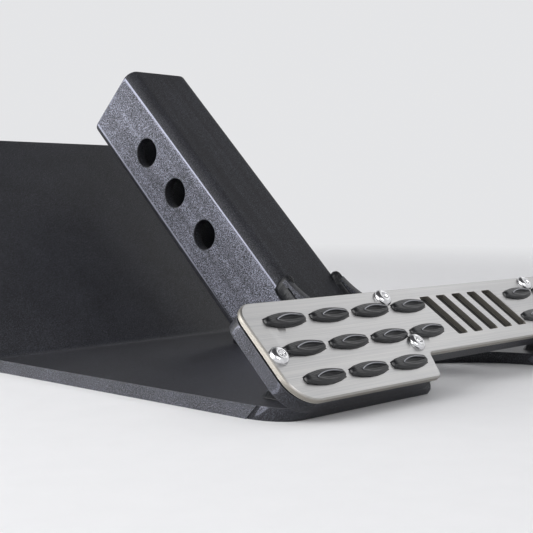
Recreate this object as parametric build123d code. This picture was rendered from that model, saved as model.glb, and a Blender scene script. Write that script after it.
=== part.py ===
from build123d import *
import os
from math import asin, atan2, cos, degrees, floor, hypot, radians, sin, sqrt, tan

# Hitch skid: a bent skid plate welded under a square hitch tube, with a step on its rear end.
# Sizes are in millimetres. The part stands on its rear panel, as it does on a bench:
# X runs across the part, Y from the step towards the front panel, Z up.
# "Use" coordinates are those of the part in a receiver: X across, Y along the tube towards
# its free end, Z up out of the tread. Their origin is the middle of the tube's free end.

# Hitch tube
TUBE_SIDE = 50.8
TUBE_WALL = 6.35
TUBE_CORNER = 7.2
TUBE_CORNER_INSIDE = 1.6
TUBE_END_CHAMFER = 0.8
TUBE_ANGLE = 43.9           # rise of the tube above the rear panel, degrees
TUBE_REACH = 247.5          # free end to the step's front edge
PIN_DIAMETER = 17.5
PIN_FIRST = 48.6            # free end to the first cross hole
PIN_PITCH = 35.4
PIN_COUNT = 3

# Skid plate
PLATE = 6.35                # thickness of every steel plate
SKID_WIDTH = 326.0
REAR_LENGTH = 200.0         # bend to the step's seat, along the rear panel's upper face
FRONT_LENGTH = 180.0
FRONT_WIDTH = 296.0         # above its shoulders
FRONT_SHOULDER = 28.0       # bend to where each shoulder starts
SHOULDER_ANGLE = 45.0
FRONT_TIP_RADIUS = 22.0
BEND_ANGLE = 41.4           # rise of the front panel above the rear panel, degrees
BEND_RADIUS = 8.0
ARCH_INSET = 1.0             # end of the waist to the side of the arch
ARCH_CORNER = 4.0           # where the arch meets the rear end

# Step plate and tread
TREAD_RISE = 83.9           # tube axis to the step plate's underside
STEP_DEPTH = 51.6           # at the two wings
STEP_WAIST = 38.0           # between the wings
SEAT_WIDTH = 3.7            # strip of the step plate that stands on the skid plate's end
WING_WIDTH = 98.5           # side of the tread to the wing's inner corner
WAIST_TAPER = 4.5           # wing's inner corner to where the waist starts to widen
FRONT_CORNER = 9.0
REAR_CORNER = 13.5
WING_CORNER = 3.6
WAIST_CORNER = 2.4
STEP_INSET = 0.8            # step plate stands back this far from the sheet's outline
MAT_THICKNESS = 1.6
MAT_INSET = 1.5
SHEET_THICKNESS = 2.6
SHEET_OVERHANG = 1.4        # sheet past the step plate at the rear
SHEET_EDGE = 0.7            # chamfer round the sheet's upper rim

# Rubber pads: rows run across, columns are counted from the outer end of a wing
PAD_LENGTH = 25.6
PAD_WIDTH = 7.8
PAD_END = 3.2               # width of the blunt end
PAD_HEIGHT = 2.4            # above the sheet
PAD_SLOPE_HEIGHT = 1.0      # of the sloping edge round the crown
PAD_SLOPE = 45.0            # lean of that edge
PAD_FLANGE = 1.1            # foot past the pad's long sides, under the sheet
PAD_FLANGE_END = 0.4
PAD_GAP = 0.2               # between a pad and what surrounds it
PAD_STEPS = 5               # straight steps in each curved side of the many pads and their dimples
PAD_SIDE = 23.2             # side of the tread to the middle of the outer pads
PAD_COLUMN_PITCH = 29.8
PAD_FIRST_ROW = 11.3        # step's front edge to the first row
PAD_ROW_PITCH = 15.7
PAD_ROWS = (4, 4, 3)        # pads of each row in one wing
LEAF_LENGTH = 19.0          # leaf-shaped dimple in the pad's crown
LEAF_WIDTH = 4.9
LEAF_DEPTH = 1.2
LEAF_SLOPE = 50.0           # lean of the dimple's walls
LEAF_SHIFT = 1.6            # leaf off the pad's middle, towards the right

# Plain slots in the middle of the tread
SLOT_GAP = 0.4               # least metal between the outer slot and the nearest pad
SLOT_WIDTH = 8.6
SLOT_LENGTH = 25.0
SLOT_PITCH = 14.0
SLOT_SLANT = 21.0
SLOT_CORNER = 1.2

# Button-head screws in tapped holes of the step plate
SCREW_RADIUS = 2.4
SCREW_HOLE_RADIUS = 2.7     # through the sheet and the mat
THREAD_GAP = 0.02           # between the screw and the tapped hole
SCREW_SHORT = 0.6           # screw end above the step plate's underside
SCREW_SIDES = 16            # flat sides that stand for each screw's roundness
HEAD_RADIUS = 4.6
HEAD_SHOULDER_RADIUS = 3.9
HEAD_CROWN_RADIUS = 2.2
HEAD_SHOULDER = 1.6         # height where the head turns in
HEAD_HEIGHT = 2.55
SOCKET_FLATS = 3.2
SOCKET_DEPTH = 1.5
SCREW_SIDE = 5.1            # side of the tread to the outer screws
SCREW_INNER = 0.8           # wing's inner corner to the inner screws
SCREW_OUTER_BACK = 29.4     # step's front edge to the outer screws
SCREW_FRONT_BACK = 5.1
SCREW_REAR_BACK = 32.9

# Gussets
GUSSET_PLATE = 4.76
GUSSET_TOE = 66.0           # step's front edge to the toe, along the tube
GUSSET_TOE_HEIGHT = 2.8
GUSSET_TOE_ROUND = 1.5
GUSSET_TOE_ANGLE = 5.0      # slope of the curved edge at the toe, degrees
GUSSET_HEAD = 4.0           # step's front edge to where the curved edge meets the step plate
GUSSET_BACK = 33.0          # step's front edge to the gusset's back, under the step plate
GUSSET_FOOT = 24.0          # reach of the gusset behind the tube, along the rear panel
RIB_INNER_SIDE = 91.0       # side of the plate to the inner face of the inner rib
RIB_OUTER_SIDE = 24.4       # side of the plate to the inner face of the outer rib
RIB_DEPTH = 24.0            # along the rear panel, from the seat to the rib's front edge
RIB_SNIPE = 9.0             # corner cut away to clear the weld

# Welds
TUBE_WELD = 6.0
GUSSET_WELD = 2.6
GROOVE_CROWN = 0.9          # bulge of the weld in the tube's round corner
TOE_WELD = 4.6              # radius of the weld's end round a gusset's toe
TOE_WELD_TOP = 2.2          # the same at its top
TOE_WELD_HEIGHT = 8.2
STEP_WELD = 6.0
STEP_WELD_INSET = 10.0      # weld's outer end to the side of the plate
RIB_WELD = 3.0

HALF = SKID_WIDTH / 2
TUBE_HALF = TUBE_SIDE / 2
RIB_OUTER = HALF - RIB_OUTER_SIDE
RIB_INNER = HALF - RIB_INNER_SIDE
WING_HALF = HALF - WING_WIDTH
WAIST_HALF = WING_HALF - WAIST_TAPER
ARCH_RADIUS = WAIST_HALF - ARCH_INSET
COS_T = cos(radians(TUBE_ANGLE))
SIN_T = sin(radians(TUBE_ANGLE))
STEP_FRONT = -TUBE_REACH
STEP_REAR = STEP_FRONT - STEP_DEPTH
WAIST_REAR = STEP_FRONT - STEP_WAIST
SEAT_Y = STEP_REAR + SEAT_WIDTH
STEP_TOP = TREAD_RISE + PLATE
SHEET_UNDER = STEP_TOP + MAT_THICKNESS
SHEET_TOP = SHEET_UNDER + SHEET_THICKNESS
NEAR = 400.0                # larger than the part is wide, for cutting blocks

# The rear panel's upper face meets the step plate's underside on the seat line, at Y -REAR_LENGTH / 2.
USE_Y = -REAR_LENGTH / 2 - (SEAT_Y * COS_T - TREAD_RISE * SIN_T)
USE_Z = PLATE - (SEAT_Y * SIN_T + TREAD_RISE * COS_T)
USE = Plane(origin=(0, USE_Y, USE_Z), x_dir=(1, 0, 0), z_dir=(0, -SIN_T, COS_T))


def in_place(shape):
    """Moves a shape from use coordinates to the resting part."""
    return USE.location * shape


def use_point(y, z):
    """Turns a point of the resting section into the use section."""
    back = y - USE_Y
    up = z - USE_Z
    return (back * COS_T + up * SIN_T, up * COS_T - back * SIN_T)


def block(x, y, z):
    """Box between pairs of limits."""
    size = [pair[1] - pair[0] for pair in (x, y, z)]
    middle = [(pair[1] + pair[0]) / 2 for pair in (x, y, z)]
    return Pos(*middle) * Box(*size)


def across(profile, low, high):
    """Extrudes a face drawn in the YZ section from one X to another."""
    return Pos(low, 0, 0) * extrude(Plane.YZ * profile, high - low)


def flat_shape(points):
    """Face with straight sides."""
    return make_face(Polyline(*points, close=True))


def mirrored(shape):
    """The same shape on the other side of the middle."""
    return mirror(shape, about=Plane.YZ)


def section_cut(profile, low, high):
    """Section profile in use coordinates, extruded across and set in place."""
    return in_place(across(profile, low, high))


# Skid plate

def skid_profile():
    """Bent section of the skid plate, with round inside and outside corners."""
    rise = radians(BEND_ANGLE)
    start = -REAR_LENGTH / 2 - 3 * PLATE
    bend = REAR_LENGTH / 2
    tip_y = bend + FRONT_LENGTH * cos(rise)
    tip_z = PLATE + FRONT_LENGTH * sin(rise)
    outer = bend + PLATE * tan(rise / 2)
    face = flat_shape([
        (start, 0),
        (outer, 0),
        (tip_y + PLATE * sin(rise), tip_z - PLATE * cos(rise)),
        (tip_y, tip_z),
        (bend, PLATE),
        (start, PLATE),
    ])
    inside = face.vertices().sort_by_distance((bend, PLATE))[0]
    face = fillet(inside, BEND_RADIUS)
    outside = face.vertices().sort_by_distance((outer, 0))[0]
    return fillet(outside, BEND_RADIUS + PLATE)


def front_shoulders():
    """Pieces cut from the sides of the front panel, which is narrower above its shoulders."""
    rise = radians(BEND_ANGLE)
    panel = Plane(origin=(0, REAR_LENGTH / 2, PLATE), x_dir=(1, 0, 0), z_dir=(0, -sin(rise), cos(rise)))
    side = FRONT_WIDTH / 2
    top = FRONT_LENGTH + PLATE
    shoulder_end = FRONT_SHOULDER + (HALF - side) * tan(radians(SHOULDER_ANGLE))
    waste = flat_shape([
        (HALF, FRONT_SHOULDER),
        (side, shoulder_end),
        (side, top),
        (HALF + PLATE, top),
        (HALF + PLATE, FRONT_SHOULDER),
    ])
    cutter = extrude(panel * waste, 2 * PLATE, both=True)
    return cutter + mirrored(cutter)


def rear_trim():
    """Blocks that trim the rear end to the step plate's underside and to its rear face."""
    above = block((-NEAR, NEAR), (-NEAR, SEAT_Y + TUBE_SIDE), (TREAD_RISE, TREAD_RISE + NEAR))
    behind = block((-NEAR, NEAR), (STEP_REAR - NEAR, STEP_REAR), (0, NEAR))
    return in_place(above), in_place(behind)


def corner_trim():
    """Waste outside the rounded rear corner of a wing, in the direction of the tread."""
    middle_x = HALF - STEP_INSET - REAR_CORNER
    middle_y = STEP_REAR + REAR_CORNER
    low = TREAD_RISE - 3 * PLATE
    waste = block((middle_x, HALF + PLATE), (STEP_REAR - PLATE, middle_y), (low, TREAD_RISE + PLATE))
    round_bar = Pos(middle_x, middle_y, low - PLATE) * Cylinder(
        REAR_CORNER, 6 * PLATE, align=(Align.CENTER, Align.CENTER, Align.MIN)
    )
    return in_place(waste - round_bar)


def arch_cutter():
    """Round arch that opens on the rear end between rounded corners."""
    rear_end = -REAR_LENGTH / 2 - SEAT_WIDTH * COS_T
    circle = Pos(0, -REAR_LENGTH / 2) * Circle(ARCH_RADIUS)
    behind = Pos(0, rear_end) * Rectangle(NEAR, ARCH_RADIUS, align=(Align.CENTER, Align.MAX))
    face = circle + behind
    half = sqrt(ARCH_RADIUS ** 2 - (SEAT_WIDTH * COS_T) ** 2)
    for sign in (-1, 1):
        corner = face.vertices().sort_by_distance((sign * half, rear_end))[0]
        face = fillet(corner, ARCH_CORNER)
    return extrude(face, 4 * PLATE, both=True)


def make_skid_plate():
    """Bent plate with a shouldered front panel and a round arch in its rear end."""
    plate = across(skid_profile(), -HALF, HALF)
    plate -= front_shoulders()
    tip = plate.edges().filter_by(GeomType.LINE).sort_by(Axis.Z)[-8:]
    corners = [e for e in tip if abs(e.length - PLATE) < 0.01 and abs(e.center().X) > FRONT_WIDTH / 4]
    plate = fillet(corners, FRONT_TIP_RADIUS)
    for waste in rear_trim():
        plate -= waste
    plate -= corner_trim()
    plate -= mirrored(corner_trim())
    return plate - arch_cutter()


# Hitch tube

def tube_bar(side, corner):
    """Square bar with round corners along the use Y axis, long enough to pass the skid plate."""
    outline = RectangleRounded(side, side, corner)
    length = TUBE_REACH + TUBE_SIDE
    return extrude(Plane.XZ * outline, length)


def make_hitch_tube():
    """Hollow tube with cross holes, its lower end mitred to stand on the rear panel."""
    bar = tube_bar(TUBE_SIDE, TUBE_CORNER)
    rim = bar.faces().sort_by(Axis.Y)[-1].edges()
    bar = chamfer(rim, TUBE_END_CHAMFER)
    tube = bar - tube_bar(TUBE_SIDE - 2 * TUBE_WALL, TUBE_CORNER_INSIDE)
    for index in range(PIN_COUNT):
        hole = Cylinder(PIN_DIAMETER / 2, 2 * TUBE_SIDE)
        tube -= Pos(0, -PIN_FIRST - index * PIN_PITCH, 0) * (Rot(0, 90, 0) * hole)
    return in_place(tube) - block((-NEAR, NEAR), (-NEAR, NEAR), (PLATE - NEAR, PLATE))


# Step plate, mat and tread sheet

def step_outline(inset, rear_overhang):
    """Outline of the step in use coordinates: two wings joined by a narrower waist."""
    side = HALF - inset
    front = STEP_FRONT - inset
    rear = STEP_REAR - rear_overhang
    waist = WAIST_REAR - rear_overhang
    face = flat_shape([
        (-side, front),
        (side, front),
        (side, rear),
        (WING_HALF + inset, rear),
        (WAIST_HALF + inset, waist),
        (-WAIST_HALF - inset, waist),
        (-WING_HALF - inset, rear),
        (-side, rear),
    ])
    rounds = (
        ((side, front), FRONT_CORNER - inset),
        ((side, rear), REAR_CORNER),
        ((WING_HALF + inset, rear), WING_CORNER),
        ((WAIST_HALF + inset, waist), WAIST_CORNER),
    )
    for (x, y), radius in rounds:
        for sign in (-1, 1):
            corner = face.vertices().sort_by_distance((sign * x, y))[0]
            face = fillet(corner, radius)
    return face


def screw_positions():
    """Name, X and Y of each screw in use coordinates."""
    wing = (
        ("outer", HALF - SCREW_SIDE, SCREW_OUTER_BACK),
        ("front", WING_HALF + SCREW_INNER, SCREW_FRONT_BACK),
        ("rear", WING_HALF + SCREW_INNER, SCREW_REAR_BACK),
    )
    places = []
    for side, sign in (("left", -1), ("right", 1)):
        for name, x, back in wing:
            places.append((f"{side}_{name}", sign * x, STEP_FRONT - back))
    return places


def screw_holes(radius):
    """Bars that cut the screws' holes."""
    drill = Pos(0, 0, TREAD_RISE) * Cylinder(radius, 8 * PLATE)
    return [Pos(x, y, 0) * drill for _, x, y in screw_positions()]


def pad_positions():
    """Name, X and Y of each pad in use coordinates."""
    places = []
    for side, sign in (("left", -1), ("right", 1)):
        for row, count in enumerate(PAD_ROWS):
            for column in range(count):
                x = sign * (HALF - PAD_SIDE - column * PAD_COLUMN_PITCH)
                y = STEP_FRONT - PAD_FIRST_ROW - row * PAD_ROW_PITCH
                places.append((f"{side}_{row + 1}_{column + 1}", x, y))
    return places


def bowed_side(half_length, end, crown):
    """Points along a shallow arc, from its left end over its crown to its right end."""
    rise = crown - end
    radius = (half_length ** 2 + rise ** 2) / (2 * rise)
    sweep = asin(half_length / radius)
    points = []
    for index in range(PAD_STEPS + 1):
        turn = sweep * (2 * index / PAD_STEPS - 1)
        points.append((radius * sin(turn), crown - radius * (1 - cos(turn))))
    return points


def pad_outline(grow, grow_end):
    """Barrel outline of a pad: two bowed sides between blunt ends."""
    upper = bowed_side(PAD_LENGTH / 2 + grow_end, PAD_END / 2 + grow, PAD_WIDTH / 2 + grow)
    lower = [(x, -y) for x, y in reversed(upper)]
    return flat_shape(upper + lower)


def middle_slots():
    """Row of slanted plain slots in the middle of the tread."""
    slots = []
    centre_y = (STEP_FRONT + WAIST_REAR) / 2
    slant = SLOT_LENGTH * tan(radians(SLOT_SLANT)) / 2
    half_w = SLOT_WIDTH / 2
    half_l = SLOT_LENGTH / 2
    innermost = min(x for name, x, _ in pad_positions() if name.startswith("right"))
    free = innermost - PAD_LENGTH / 2 - SLOT_GAP - half_w - slant
    each_side = max(0, floor(free / SLOT_PITCH))
    for index in range(-each_side, each_side + 1):
        x = index * SLOT_PITCH
        face = flat_shape([
            (x - half_w - slant, centre_y + half_l),
            (x + half_w - slant, centre_y + half_l),
            (x + half_w + slant, centre_y - half_l),
            (x - half_w + slant, centre_y - half_l),
        ])
        slots.append(fillet(face.vertices(), SLOT_CORNER))
    return slots


def make_step_plate():
    """Thick plate with tapped holes that carries the tread."""
    plate = Pos(0, 0, TREAD_RISE) * extrude(step_outline(STEP_INSET, 0), PLATE)
    for hole in screw_holes(SCREW_RADIUS + THREAD_GAP):
        plate -= hole
    return in_place(plate)


def make_backing_mat():
    """Thin rubber layer with a window round the foot of each pad."""
    mat = Pos(0, 0, STEP_TOP) * extrude(step_outline(MAT_INSET, 0), MAT_THICKNESS)
    window = extrude(pad_outline(PAD_FLANGE + PAD_GAP, PAD_FLANGE_END + PAD_GAP), 3 * PLATE, both=True)
    for _, x, y in pad_positions():
        mat -= Pos(x, y, STEP_TOP) * window
    for hole in screw_holes(SCREW_HOLE_RADIUS):
        mat -= hole
    return in_place(mat)


def make_tread_sheet():
    """Stainless sheet with a chamfered rim, a window for each pad and the middle slots."""
    sheet = Pos(0, 0, SHEET_UNDER) * extrude(step_outline(0, SHEET_OVERHANG), SHEET_THICKNESS)
    rim = sheet.faces().sort_by(Axis.Z)[-1].edges()
    sheet = chamfer(rim, SHEET_EDGE)
    window = extrude(pad_outline(PAD_GAP, PAD_GAP), 3 * PLATE, both=True)
    for _, x, y in pad_positions():
        sheet -= Pos(x, y, SHEET_UNDER) * window
    for slot in middle_slots():
        sheet -= Pos(0, 0, SHEET_UNDER) * extrude(slot, PLATE, both=True)
    for hole in screw_holes(SCREW_HOLE_RADIUS):
        sheet -= hole
    return in_place(sheet)


def leaf_cutter():
    """Tapered cutter for a leaf-shaped dimple, with the pad's crown at Z 0."""
    upper = bowed_side(LEAF_LENGTH / 2, 0, LEAF_WIDTH / 2)
    lower = [(x, -y) for x, y in reversed(upper[1:-1])]
    leaf = flat_shape(upper + lower)
    return extrude(leaf, -LEAF_DEPTH, taper=LEAF_SLOPE)


def make_pad():
    """Rubber pad with a foot trapped under the sheet, a sloping edge round its crown and a leaf dimple."""
    top = MAT_THICKNESS + SHEET_THICKNESS + PAD_HEIGHT
    foot = extrude(pad_outline(PAD_FLANGE, PAD_FLANGE_END), MAT_THICKNESS)
    body = extrude(pad_outline(0, 0), top - PAD_SLOPE_HEIGHT)
    crown = extrude(body.faces().sort_by(Axis.Z)[-1], PAD_SLOPE_HEIGHT, taper=PAD_SLOPE)
    leaf = Pos(LEAF_SHIFT, 0, top) * leaf_cutter()
    return foot + body + crown - leaf


# Screws

def make_screw():
    """Button-head screw with a hexagon socket, its head on the sheet at Z 0."""
    shank = SHEET_THICKNESS + MAT_THICKNESS + PLATE - SCREW_SHORT
    rest = HEAD_HEIGHT - HEAD_SHOULDER
    lean_low = degrees(atan2(HEAD_RADIUS - HEAD_SHOULDER_RADIUS, HEAD_SHOULDER))
    lean_high = degrees(atan2(HEAD_SHOULDER_RADIUS - HEAD_CROWN_RADIUS, rest))
    body = extrude(RegularPolygon(SCREW_RADIUS, SCREW_SIDES), -shank)
    head = extrude(RegularPolygon(HEAD_RADIUS, SCREW_SIDES), HEAD_SHOULDER, taper=lean_low)
    crown = extrude(head.faces().sort_by(Axis.Z)[-1], rest, taper=lean_high)
    body += head + crown
    socket = extrude(RegularPolygon(SOCKET_FLATS / 2, 6, major_radius=False), SOCKET_DEPTH)
    return body - Pos(0, 0, HEAD_HEIGHT - SOCKET_DEPTH) * socket


# Gussets and ribs

def panel_reach():
    """Distance from the seat to the tube's upper face, along the rear panel's upper face."""
    return (TREAD_RISE - TUBE_HALF) / SIN_T


def gusset_profile():
    """Gusset between tube, rear panel and step plate, with a hollow curved front edge."""
    toe_y = STEP_FRONT + GUSSET_TOE
    toe_z = TUBE_HALF + GUSSET_TOE_HEIGHT
    head_y = STEP_FRONT - GUSSET_HEAD
    chord = hypot(toe_y - head_y, TREAD_RISE - toe_z)
    lean = degrees(atan2(TREAD_RISE - toe_z, toe_y - head_y))
    bulge = chord / 2 * tan(radians(lean - GUSSET_TOE_ANGLE) / 2)
    mid_y = (toe_y + head_y) / 2 - bulge * sin(radians(lean))
    mid_z = (toe_z + TREAD_RISE) / 2 - bulge * cos(radians(lean))
    corner = use_point(-REAR_LENGTH / 2 + panel_reach(), PLATE)
    foot = use_point(-REAR_LENGTH / 2 + panel_reach() - GUSSET_FOOT, PLATE)
    back_y = STEP_FRONT - GUSSET_BACK
    face = make_face([
        Line((toe_y, TUBE_HALF), (toe_y, toe_z)),
        ThreePointArc((toe_y, toe_z), (mid_y, mid_z), (head_y, TREAD_RISE)),
        Line((head_y, TREAD_RISE), (back_y, TREAD_RISE)),
        Line((back_y, TREAD_RISE), foot),
        Line(foot, corner),
        Line(corner, (toe_y, TUBE_HALF)),
    ])
    toe = face.vertices().sort_by_distance((toe_y, toe_z))[0]
    return fillet(toe, GUSSET_TOE_ROUND)


def make_tube_gusset():
    """Right-hand gusset, its outer face level with the tube's side."""
    return section_cut(gusset_profile(), TUBE_HALF - GUSSET_PLATE, TUBE_HALF)


def make_wing_rib(inner):
    """Triangular rib between the rear panel and the right wing, from its inner face outwards."""
    seat = -REAR_LENGTH / 2
    top = PLATE + RIB_DEPTH * SIN_T / COS_T
    snipe = PLATE + RIB_SNIPE * SIN_T / COS_T
    face = flat_shape([
        (seat + RIB_SNIPE, PLATE),
        (seat + RIB_DEPTH, PLATE),
        (seat + RIB_DEPTH, top),
        (seat + RIB_SNIPE, snipe),
    ])
    return across(face, inner, inner + PLATE)


# Welds

def make_tube_weld():
    """Fillet weld round the foot of the tube, on the rear panel."""
    middle_y = USE_Y + (PLATE - USE_Z) / tan(radians(TUBE_ANGLE))
    foot_length = TUBE_SIDE / SIN_T
    outline = RectangleRounded(TUBE_SIDE + 2 * TUBE_WELD, foot_length + 2 * TUBE_WELD, TUBE_CORNER + TUBE_WELD)
    bead = extrude(Pos(0, middle_y, PLATE) * outline, TUBE_WELD, taper=44)
    bead -= in_place(tube_bar(TUBE_SIDE, TUBE_CORNER))
    gusset = make_tube_gusset()
    return bead - gusset - mirrored(gusset)


def make_gusset_weld():
    """Right-hand weld that fills the tube's round corner under a gusset and closes round its toe."""
    toe_y = STEP_FRONT + GUSSET_TOE
    end_y = use_point(-REAR_LENGTH / 2 + panel_reach(), PLATE)[0]
    length = toe_y - end_y
    inner = TUBE_HALF - GUSSET_PLATE
    low = TUBE_HALF - TUBE_CORNER
    high = TUBE_HALF + GUSSET_WELD / 2
    groove_face = flat_shape([
        (TUBE_HALF, low),
        (TUBE_HALF + GROOVE_CROWN, TUBE_HALF - GUSSET_WELD),
        (TUBE_HALF + GROOVE_CROWN, TUBE_HALF),
        (TUBE_HALF, high),
        (inner, high),
        (inner, low),
    ])
    fillet_face = flat_shape([
        (inner - GUSSET_WELD, low),
        (inner, low),
        (inner, TUBE_HALF + GUSSET_WELD),
        (inner - GUSSET_WELD, TUBE_HALF),
    ])
    groove = Pos(0, toe_y, 0) * extrude(Plane.XZ * groove_face, length)
    inside = Pos(0, toe_y, 0) * extrude(Plane.XZ * fillet_face, length)
    cap = Pos(TUBE_HALF - GUSSET_PLATE / 2, toe_y, TUBE_HALF) * Cone(TOE_WELD, TOE_WELD_TOP, TOE_WELD_HEIGHT)
    bead = groove + inside + cap
    bead = in_place(bead - tube_bar(TUBE_SIDE, TUBE_CORNER))
    return bead - make_tube_gusset() - make_tube_weld() - block((-NEAR, NEAR), (-NEAR, NEAR), (PLATE - NEAR, PLATE))


def make_step_weld():
    """Right-hand weld in the corner between the rear panel and a wing's underside."""
    seat = -REAR_LENGTH / 2
    slope = SIN_T / COS_T
    face = flat_shape([
        (seat, PLATE),
        (seat + STEP_WELD, PLATE),
        (seat + STEP_WELD * COS_T, PLATE + STEP_WELD * COS_T * slope),
    ])
    return across(face, WING_HALF, HALF - STEP_WELD_INSET)


def make_rib_weld(inner):
    """Pair of fillet welds along the foot of a rib, joined round its front end."""
    seat = -REAR_LENGTH / 2
    low = seat + RIB_SNIPE
    high = seat + RIB_DEPTH
    outline = block((inner - RIB_WELD, inner + PLATE + RIB_WELD), (low, high + RIB_WELD), (0, PLATE))
    top = outline.faces().sort_by(Axis.Z)[-1]
    bead = extrude(top, RIB_WELD, taper=44)
    square_end = block((-NEAR, NEAR), (low - NEAR, low + RIB_WELD), (0, NEAR))
    return bead - square_end - make_wing_rib(inner)


def build():
    """Every piece of the part by its name."""
    pieces = {
        "skid_plate": make_skid_plate(),
        "hitch_tube": make_hitch_tube(),
        "step_plate": make_step_plate(),
        "backing_mat": make_backing_mat(),
        "tread_sheet": make_tread_sheet(),
        "weld_tube_foot": make_tube_weld(),
    }
    handed = {
        "tube_gusset": make_tube_gusset(),
        "wing_rib_inner": make_wing_rib(RIB_INNER),
        "wing_rib_outer": make_wing_rib(RIB_OUTER),
        "weld_gusset": make_gusset_weld(),
        "weld_step": make_step_weld(),
        "weld_rib_inner": make_rib_weld(RIB_INNER),
        "weld_rib_outer": make_rib_weld(RIB_OUTER),
    }
    for name, piece in handed.items():
        pieces[name + "_right"] = piece
        pieces[name + "_left"] = mirrored(piece)
    pad = make_pad()
    for name, x, y in pad_positions():
        pieces["tread_pad_" + name] = in_place(Pos(x, y, STEP_TOP) * pad)
    screw = make_screw()
    for name, x, y in screw_positions():
        pieces["tread_screw_" + name] = in_place(Pos(x, y, SHEET_TOP) * screw)
    return pieces


os.makedirs("parts", exist_ok=True)
for piece_name, piece in build().items():
    export_step(piece, f"parts/{piece_name}.step")
    print(piece_name, round(piece.volume))
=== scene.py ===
"""Dresses the hitch skid: finishes for every solid, moulded pads, weld beads, screws and the studio."""

import logging
import math
from dataclasses import dataclass
from enum import Enum
from typing import Callable

import bmesh
import bpy
from mathutils import Matrix, Vector, noise


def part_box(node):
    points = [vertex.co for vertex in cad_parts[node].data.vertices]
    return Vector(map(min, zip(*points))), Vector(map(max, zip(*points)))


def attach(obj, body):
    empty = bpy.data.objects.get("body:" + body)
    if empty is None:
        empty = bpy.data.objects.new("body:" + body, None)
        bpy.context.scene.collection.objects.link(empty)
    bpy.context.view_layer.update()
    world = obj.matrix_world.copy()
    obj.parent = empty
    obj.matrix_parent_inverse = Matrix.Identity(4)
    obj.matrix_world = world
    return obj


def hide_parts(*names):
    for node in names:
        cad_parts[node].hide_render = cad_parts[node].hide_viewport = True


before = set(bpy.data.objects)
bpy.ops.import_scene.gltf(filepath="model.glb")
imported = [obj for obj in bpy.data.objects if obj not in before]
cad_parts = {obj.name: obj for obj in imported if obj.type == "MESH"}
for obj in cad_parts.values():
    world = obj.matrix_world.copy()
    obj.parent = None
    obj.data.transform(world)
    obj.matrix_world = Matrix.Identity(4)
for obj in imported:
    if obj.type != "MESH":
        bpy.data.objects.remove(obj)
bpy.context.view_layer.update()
MM = 0.001
LOG = logging.getLogger("hitch_skid")

Colour = tuple[float, float, float, float]
Triple = tuple[float, float, float]
Range = tuple[float, float]
Number = float | int

EDGE_RANGE: Range = (0.02, 0.22)


class Side(Enum):
    """Which side of the part a piece is on, with the sign of its X."""

    LEFT = -1
    RIGHT = 1

    @property
    def word(self) -> str:
        """The side's name as the solids' names spell it."""
        return self.name.lower()


class Slot(Enum):
    """The record's material slots that pieces of the scene take."""

    WELD = "weld_bead"
    RUBBER = "rubber"
    SCREW = "bright_screw"


class Signal:
    """One shader socket, so that a mask or a shade can be written as a sum or a product."""

    def __init__(self, graph: "Graph", socket: bpy.types.NodeSocket) -> None:
        """Wraps an output socket of the graph."""
        self.graph = graph
        self.socket = socket

    def _math(self, operation: str, first: "Signal | Number", second: "Signal | Number") -> "Signal":
        """Adds one Math node and returns what comes out of it."""
        return self.graph.add("ShaderNodeMath", {"operation": operation}, {0: first, 1: second})

    def __add__(self, other: "Signal | Number") -> "Signal":
        """Sum."""
        return self._math("ADD", self, other)

    def __radd__(self, other: Number) -> "Signal":
        """Sum with a number on the left."""
        return self._math("ADD", other, self)

    def __sub__(self, other: "Signal | Number") -> "Signal":
        """Difference."""
        return self._math("SUBTRACT", self, other)

    def __rsub__(self, other: Number) -> "Signal":
        """Difference with a number on the left."""
        return self._math("SUBTRACT", other, self)

    def __mul__(self, other: "Signal | Number") -> "Signal":
        """Product."""
        return self._math("MULTIPLY", self, other)

    def __rmul__(self, other: Number) -> "Signal":
        """Product with a number on the left."""
        return self._math("MULTIPLY", other, self)

    def clipped(self) -> "Signal":
        """The same value held between 0 and 1."""
        return self.graph.add("ShaderNodeClamp", {}, {"Value": self})

    def between(self, low: float, high: float) -> "Signal":
        """Maps low to 0 and high to 1, smoothly and held at the ends.

        Args:
            low: Value that becomes 0.
            high: Value that becomes 1.

        Returns:
            The mapped value.
        """
        settings = {"interpolation_type": "SMOOTHSTEP"}
        sockets = {"Value": self, "From Min": low, "From Max": high}
        return self.graph.add("ShaderNodeMapRange", settings, sockets)


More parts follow.
